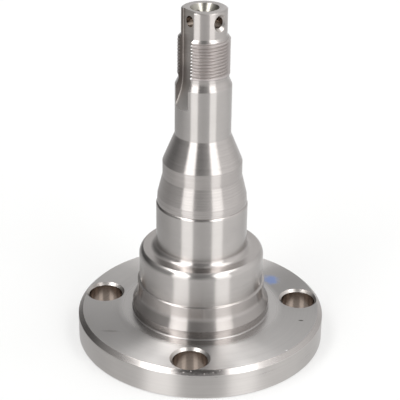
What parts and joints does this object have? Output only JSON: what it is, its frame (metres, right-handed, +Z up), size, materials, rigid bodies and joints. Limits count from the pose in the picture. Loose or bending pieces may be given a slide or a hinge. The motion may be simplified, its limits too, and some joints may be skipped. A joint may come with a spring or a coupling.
{
  "type": "stub axle",
  "caption": "Flanged stub axle with ground bearing seats, an oil seal land, a threaded end, a lock washer groove and split pin holes.",
  "frame": {"origin": "centre of the mounting face, on the spindle's axis", "axes": "+Z up along the spindle to its threaded end; +X runs along the line through the two side fixing holes; -Y faces the front fixing hole"},
  "size_m": [0.0802, 0.0802, 0.1111],
  "materials": {
    "machined_steel": "turned and ground steel, bare"
  },
  "bodies": {
    "root": {"stub_axle": "machined_steel"}
  },
  "joints": []
}
